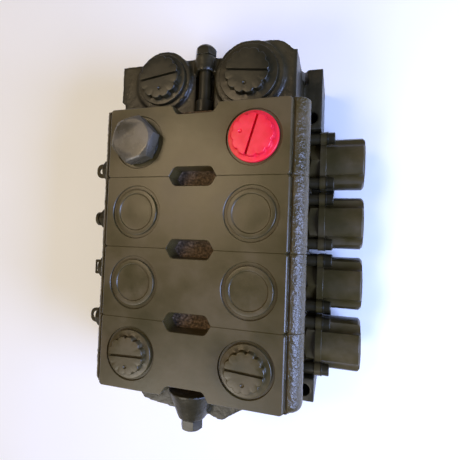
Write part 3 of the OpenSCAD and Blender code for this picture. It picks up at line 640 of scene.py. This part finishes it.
def side_pads(y):
    """One bar through the section that stands 1 mm proud of both sides, with its edges broken."""
    face, shoulder = SIDE_PAD_X, SIDE_PAD_X - SIDE_PAD_BREAK
    rings = []
    for x, inset in ((-face, 0.5 * MM), (-shoulder, 0.0), (shoulder, 0.0), (face, 0.5 * MM)):
        half, low, high = SIDE_PAD_HALF - inset, BASE_Z + 0.5 * MM + inset, SIDE_PAD_TOP - inset
        rings.append([(x, y - half, low), (x, y + half, low), (x, y + half, high), (x, y - half, high)])
    return loft("side_pads", np.array(rings))


print("pocket plan has", len(pocket_outline(0.0)), "points")

# %% [markdown]
# Now the four sections are cut and painted. The paint differs with how a face was
# made, and the place and direction of a face tell that: the port face, the joint
# faces and the side pads are milled, the pocket floors are raw, the rest is cast.

# %% The four sections
def assign_by(piece, rule):
    """Material index of every face from rule(centres, normals)."""
    count = len(piece.data.polygons)
    centres = np.zeros(3 * count, np.float32)
    normals = np.zeros(3 * count, np.float32)
    piece.data.polygons.foreach_get("center", centres)
    piece.data.polygons.foreach_get("normal", normals)
    index = rule(centres.reshape(-1, 3), normals.reshape(-1, 3)).astype(np.int32)
    piece.data.polygons.foreach_set("material_index", index)


def section_materials(centres, normals):
    """0 on milled faces, 1 on the cast skin, 2 on the raw pocket floors."""
    x, z = np.abs(centres[:, 0]), centres[:, 2]
    milled = (z > FACE_Z - PAD_STEP) & (x < FACE_HALF + 0.1 * MM) | (np.abs(normals[:, 1]) > 0.9)
    milled |= (x > SIDE_PAD_X - 0.05 * MM) & (z < SIDE_PAD_TOP) & (np.abs(normals[:, 0]) > 0.9)
    floor_z = FACE_Z - POCKET_DEPTH
    pocket = (x < POCKET_TIP_X) & (z < floor_z + 1.5 * MM) & (z > floor_z - 2 * MM)
    return np.where(pocket, 2, np.where(milled, 0, 1))


for i in SECTIONS:
    y0, y1 = SECTION_Y[i]
    body = loft(f"section_skin_{i}", section_rings(y0, y1, round_start=i == 4))
    boolean(body, side_pads((y0 + y1) / 2), "UNION")
    for side in (-1, 1):
        boolean(body, port_cutter(side * PORT_X, (y0 + y1) / 2))
    boolean(body, pocket_cutter(y0))
    boolean(body, pocket_cutter(y1))
    place(body, ROOT, (paint_milled, paint_cast, raw_iron), (f"section_body_{i}",))
    assign_by(body, section_materials)
    print(body.name, len(body.data.polygons), "faces")

# %% [markdown]
# ## Castings at the two ends
# The inlet section and the end plate are rounder than the work sections, with bosses
# that flow into one another. Their outlines change too much along the stack for one
# carried profile, so their CAD solids are copied, turned into an even skin of small
# faces, relaxed until their edges are as round as a sand mould leaves them, and given
# sand relief. The relief never leaves the CAD solid's box.

# %% Cast copies
# How far the mean of the relief lies under the CAD surface.
SAND_LEVEL = 0.1 * MM


def casting(node, name, voxel_mm, relax, relief_mm):
    """Remeshes a copy of the node, relaxes it to round its edges and moves it by the relief."""
    made = merged_copy(node, name)
    remesh = made.modifiers.new("skin", "REMESH")
    remesh.mode = "VOXEL"
    remesh.voxel_size = voxel_mm * MM
    smooth = made.modifiers.new("relax", "SMOOTH")
    smooth.factor = 0.5
    smooth.iterations = relax
    apply_modifiers(made)
    count = len(made.data.vertices)
    points = np.zeros(3 * count, np.float32)
    normals = np.zeros(3 * count, np.float32)
    made.data.vertices.foreach_get("co", points)
    made.data.vertices.foreach_get("normal", normals)
    points, normals = points.reshape(-1, 3), normals.reshape(-1, 3)
    points += normals * (cast_relief(points, relief_mm) - SAND_LEVEL)[:, None].astype(np.float32)
    low, high = (np.array(c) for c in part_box(node))
    points = np.clip(points, low, high)
    made.data.vertices.foreach_set("co", points.ravel())
    made.data.update()
    return made


# Both end castings take the darker tones, which are painted shade.
inlet = casting("inlet_section", "inlet_casting", 1.0, 5, 0.22)
place(inlet, ROOT, (paint_cast_shaded,), ("inlet_section",))
plate = casting("end_plate", "end_plate_casting", 0.9, 5, 0.22)
place(plate, ROOT, (paint_cast_shaded,), ("end_plate",))
print("inlet", len(inlet.data.polygons), "end plate", len(plate.data.polygons), "faces")

# %% [markdown]
# ## Screw-in plugs
# Shipping plugs are moulded with a thin flange and a head with twelve finger flutes.
# A circle array of cutters would do, but the flutes are so shallow that one formula
# of the angle is cleaner: the head's radius is a circle with twelve shallow bites
# taken out of it. A screwdriver slot and a sprue dimple are cut last.

# %% Fluted plugs
FLUTES = 12
SLOT_HALF_W = 0.8 * MM
SLOT_DEPTH = 2.6 * MM
DIMPLE_R = 1.4 * MM
PLUG_SHANK = 12 * MM
FLANGE_T = 2.4 * MM


def fluted(head_r, bite, turn):
    """Radius r less head_r * bite * b(t), where b = ((1 + cos(12 (t - turn))) / 2)^3 is a bump
    repeated twelve times. Only points inside the head's own radius move."""
    def shape(t, r):
        bump = (0.5 + 0.5 * np.cos(FLUTES * (t - turn))) ** 3
        return r - head_r * bite * bump * np.clip((head_r * 1.04 - r) * 1e5, 0, 1)
    return shape


def plug_profile(flange_r, head_r, z, head_h, shank_r):
    """From the bottom of the shank up over the flange and the head to its middle."""
    seat, top = z + FLANGE_T, z + FLANGE_T + head_h
    rim_r, crown_r = 0.5 * MM, 0.7 * MM
    return np.concatenate([
        [(0.5 * MM, z - PLUG_SHANK), (shank_r, z - PLUG_SHANK), (shank_r, z), (flange_r, z)],
        arc(flange_r - rim_r, seat - rim_r, rim_r, 0, 90, 4),
        [(head_r + 0.6 * MM, seat), (head_r + 0.1 * MM, seat + 0.3 * MM), (head_r, seat + 0.6 * MM)],
        arc(head_r - crown_r, top - crown_r, crown_r, 0, 90, 5),
        [(0.6 * head_r, top), (0.25 * head_r, top), (0.4 * MM, top)]])


def make_plug(name, centre, z, flange_r, head_r, shank_r, head_h, slot_degrees, bite, side=-1):
    """A turned, fluted plug with its slot cut, and its dimple on one side of the slot."""
    turn = math.radians(slot_degrees)
    plug = turned(name, plug_profile(flange_r, head_r, z, head_h, shank_r), (*centre, 0), sides=288,
                  shape=fluted(head_r, bite, turn))
    top = z + FLANGE_T + head_h
    spin = np.array([[math.cos(turn), -math.sin(turn)], [math.sin(turn), math.cos(turn)]])
    corners = np.array([(1, 1), (-1, 1), (-1, -1), (1, -1)]) * (0.93 * head_r, SLOT_HALF_W)
    plan = corners @ spin.T + centre
    levels = (top - SLOT_DEPTH, top + 1 * MM)
    boolean(plug, loft("slot_tool", np.array([np.column_stack([plan, np.full(4, h)]) for h in levels])))
    dimple_at = np.array([0, side * 0.56 * head_r]) @ spin.T + centre
    ball = arc(0, 0, DIMPLE_R, -88, 88, 12) + (0, top + 0.5 * MM)
    return boolean(plug, turned("dimple_tool", ball, (*dimple_at, 0), sides=32))


PORT_SHANK_R = THREAD_R - 0.1 * MM
red = make_plug("red_plug_skin", (PORT_X, sum(SECTION_Y[1]) / 2), PORT_FLOOR_Z, 15.6 * MM, 12.9 * MM,
                PORT_SHANK_R, 4.2 * MM, 74, bite=0.07, side=1)
place(red, ROOT, (red_polyethylene,), ("red_plug",))
for name, side, degrees in (("work_port_plug_left", -1, 2), ("work_port_plug_right", 1, -4)):
    plug = make_plug(name, (side * PORT_X, sum(SECTION_Y[4]) / 2), PORT_FLOOR_Z, 15.5 * MM, 12.2 * MM,
                     PORT_SHANK_R, 4.2 * MM, degrees, bite=0.09)
    place(plug, ROOT, (paint_plastic,), ("port_plugs",))
print("work port plugs made; the red one has", len(red.data.polygons), "faces")

# %% [markdown]
# The pressure and tank ports of the inlet section are larger and take the same kind
# of plug. The CAD node's box gives the middle of each and the level of its seat,
# which lies 14 mm above the end of its shank.

# %% Inlet plugs
INLET_SHANK = 14 * MM
for node, name, degrees, flange_r in (("pressure_plug", "pressure_port_plug", 8, 17.6 * MM),
                                      ("tank_plug", "tank_port_plug", -7, 19.5 * MM)):
    low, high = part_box(node)
    plug = make_plug(name, ((low.x + high.x) / 2, (low.y + high.y) / 2), low.z + INLET_SHANK, flange_r,
                     14.6 * MM, flange_r - 5 * MM, 4.6 * MM, degrees, bite=0.085)
    # The darker tones of these two plugs are painted shade.
    place(plug, ROOT, (paint_plastic_shaded,), (node,))
    print(name, len(plug.data.polygons), "faces")

# %% [markdown]
# ## Disc caps
# The ports of the two middle sections are closed by moulded discs with a shallow
# dished face. They are plain turned parts, so the profile alone makes them.

# %% Dished discs
DISC_SHANK = 11 * MM
DISC_R = 15 * MM


def disc_profile(z):
    """Shank, rim, rounded step down, gently domed middle."""
    return np.concatenate([
        [(0.5 * MM, z - DISC_SHANK), (PORT_SHANK_R, z - DISC_SHANK), (PORT_SHANK_R, z), (DISC_R, z)],
        arc(14.5 * MM, z + 1.0 * MM, 0.5 * MM, 0, 90, 4),
        [(12.5 * MM, z + 1.5 * MM)],
        arc(12.3 * MM, z + 1.1 * MM, 0.4 * MM, 90, 170, 4),
        [(11.6 * MM, z + 0.9 * MM), (10.5 * MM, z + 0.85 * MM), (6 * MM, z + 1.0 * MM),
         (0.5 * MM, z + 1.05 * MM)]])


for i in (2, 3):
    for side, word in ((-1, "left"), (1, "right")):
        disc = turned(f"port_disc_{i}_{word}", disc_profile(PORT_FLOOR_Z),
                      (side * PORT_X, sum(SECTION_Y[i]) / 2, 0), sides=128)
        place(disc, ROOT, (paint_plastic,), ("disc_caps",))
print("four dished discs")

# %% [markdown]
# ## Spring caps
# Each cap is a die-cast can with four long hollows for its screws, and holds the
# centring spring. The CAD shape is right but its edges are knife sharp, so it is
# copied and given the wide round that a die needs to let the can go.

# %% Cap cans
CAN_ROUND_MM = 1.8
for i in SECTIONS:
    can = bevelled(merged_copy(f"spring_cap_{i}", f"spring_cap_skin_{i}"), CAN_ROUND_MM, 4, 40)
    place(can, ROOT, (paint_can,), (f"spring_cap_{i}",))
    print(can.name, len(can.data.polygons), "faces before its round")

# %% [markdown]
# ## Steel parts
# Nuts, screws, collars and spool ends are machined, and the bonnets are cast and then
# machined. Their CAD shapes are right, so each is a merged copy with its edges broken
# by a few tenths of a millimetre, as a file or a tumbler leaves them. The list gives
# each node its body, its slot, its finish and how wide its edges are broken.

# %% Machined copies
MACHINED = [
    ("tie_rods", ROOT, "steel_paint", paint_turned, 0.3),
    ("tie_rod_nuts", ROOT, "steel_paint", paint_turned, 0.35),
    ("tie_rod_washers", ROOT, "steel_paint", paint_turned, 0.25),
    ("bonnet_screws", ROOT, "steel_paint", paint_turned, 0.25),
    ("cap_screws", ROOT, "steel_paint", paint_turned, 0.3),
    ("cap_washers", ROOT, "steel_paint", paint_turned, 0.2),
    ("screw_sleeves", ROOT, "steel_paint", paint_turned, 0.2),
    # The hexagon plug's paler tones are a painted highlight.
    ("hex_plug", ROOT, "steel_paint", paint_hex_highlight, 0.35),
    ("hex_plug_washer", ROOT, "steel_paint", paint_turned, 0.2),
    ("relief_cartridge", ROOT, "steel_paint", paint_turned, 0.4),
    ("relief_adjuster", ROOT, "steel_paint", paint_turned, 0.3),
]
MACHINED += [(f"guide_bonnet_{i}", ROOT, "steel_paint", paint_cast, 0.9) for i in SECTIONS]
MACHINED += [(f"hex_collar_{i}", ROOT, "steel_paint", paint_can, 0.35) for i in SECTIONS]
MACHINED += [(f"spool_end_{i}", f"spool_assembly_{i}", "dark_steel", phosphated, 0.25) for i in SECTIONS]
for node, body, slot_name, finish, width_mm in MACHINED:
    place(bevelled(merged_copy(node, f"{node}_skin"), width_mm), body, (finish,), (node,))
print(len(MACHINED), "machined copies")

# %% [markdown]
# ## Hidden parts
# Spools, springs, seats and seals are inside, but they are there in every export.
# Nothing about their shape needs more than the CAD mesh, so each node keeps its mesh
# and only gets its own finish. The longest name that fits a node decides.

# %% Materials on the kept CAD nodes
INNER = {"spool": chromed, "load_check": chromed, "load_check_springs": spring_wire,
         "relief_poppet": chromed, "relief_spring": spring_wire, "centring_spring": spring_wire,
         "inner_spring_seats": spring_wire, "outer_spring_seat": spring_wire,
         "section_seals": rubber, "rod_wipers": rubber}
kept = []
for name, node in nodes.items():
    finishes = [INNER[key] for key in sorted(INNER, key=len, reverse=True) if name.startswith(key)]
    if finishes:
        node.data.materials.clear()
        node.data.materials.append(finishes[0])
        kept.append(name)
print(len(kept), "CAD nodes have an inner finish")

# %% [markdown]
# ## Floor and lights
# A pale matt board carries the part, and soft square lamps light it as a small studio would. A warm one
# stands where the port faces mirror it, so they show a broad sheen while the inlet section beside them
# stays dark; its darker paint tones add painted shade there. A cool one stands low on the cap side and
# grazes the cast beads. The plain view transform keeps the board white and the dark enamel dark.

# %% Floor
FLOOR_REACH = 3.0


def pale_floor(name):
    """Matt white board: bright, without gloss, with clouds too faint to notice."""
    made, tree, out = new_material(name)
    where = add_node(tree, "ShaderNodeTexCoord").outputs["Object"]
    cloud = add_node(tree, "ShaderNodeTexNoise", inputs={"Vector": where, "Scale": 6.0, "Detail": 2.0})
    base = add_node(tree, "ShaderNodeValToRGB", inputs={"Fac": cloud.outputs["Fac"]},
                    stops=((0.3, "#fbfbfa"), (0.7, "#ffffff")))
    shader = add_node(tree, "ShaderNodeBsdfPrincipled", inputs={
        "Base Color": base.outputs["Color"], "Roughness": 0.8})
    tree.links.new(shader.outputs["BSDF"], out.inputs["Surface"])
    return made


corners = np.array([(-1, -1, 0), (1, -1, 0), (-1, 1, 0), (1, 1, 0)]) * FLOOR_REACH
floor = bpy.data.objects.new("floor", make_mesh("floor", corners, [[0, 1, 3, 2]]))
bpy.context.scene.collection.objects.link(floor)
floor.data.materials.append(pale_floor("matt_white_board"))
print("floor", 2 * FLOOR_REACH, "m across")

# %% Lights
def softbox(name, place_at, aim, size, power, colour):
    """A square area lamp at place_at, facing aim; size in metres, power in watts."""
    lamp = bpy.data.lights.new(name, "AREA")
    lamp.shape = "SQUARE"
    lamp.size = size
    lamp.energy = power
    lamp.color = linear(colour)[:3]
    made = bpy.data.objects.new(name, lamp)
    made.location = place_at
    made.rotation_euler = (Vector(aim) - Vector(place_at)).to_track_quat("-Z", "Y").to_euler()
    bpy.context.scene.collection.objects.link(made)


world = bpy.data.worlds.new("studio")
world.use_nodes = True
background = world.node_tree.nodes["Background"]
background.inputs["Color"].default_value = linear("#fffaf0")
background.inputs["Strength"].default_value = 0.20
bpy.context.scene.world = world
bpy.context.scene.view_settings.view_transform = "Standard"
softbox("overhead", (-0.34, 0.20, 0.92), (-0.01, 0.03, 0.11), 0.30, 2.6, "#ffe2b8")
softbox("window", (0.62, -0.14, 0.42), (0.06, -0.02, 0.10), 0.34, 10.0, "#a9c0ff")
softbox("small_window", (-0.17, -0.50, 1.01), (0.04, -0.07, 0.114), 0.12, 0.20, "#a9c0ff")
softbox("floor_lamp", (-0.9, -1.5, 1.9), (-0.1, 0.0, 0.0), 0.9, 24, "#fff8ec")

# %% [markdown]
# ## Camera
# The camera stands close, on the cap side of the stack, and looks down on the port
# face through a wide lens, with the inlet section at the top of the frame. It leans a
# little, so its up direction is turned about the line of sight.

# %% Camera
CAMERA_AT = Vector((0.08705, 0.00647, 0.31549))
CAMERA_AIM = Vector((0.02620, 0.01282, 0.11400))
CAMERA_ROLL = math.radians(2.1)
# Half the frame's width is this many times the distance to what it shows.
HALF_FRAME = 0.65714286
VIEW_ANGLE = 2 * math.atan(HALF_FRAME)
CLIP_START = 0.01
camera = bpy.data.objects.new("camera", bpy.data.cameras.new("camera"))
bpy.context.scene.collection.objects.link(camera)
forward = (CAMERA_AIM - CAMERA_AT).normalized()
up = (Vector((0, 1, 0)) - forward * forward.y).normalized()
up = Matrix.Rotation(-CAMERA_ROLL, 3, forward) @ up
side = forward.cross(up)
turn = Matrix((side, up, -forward)).transposed()
camera.matrix_world = Matrix.Translation(CAMERA_AT) @ turn.to_4x4()
camera.data.angle = VIEW_ANGLE
camera.data.clip_start = CLIP_START
bpy.context.scene.camera = camera
print("camera up", up, "side", side)
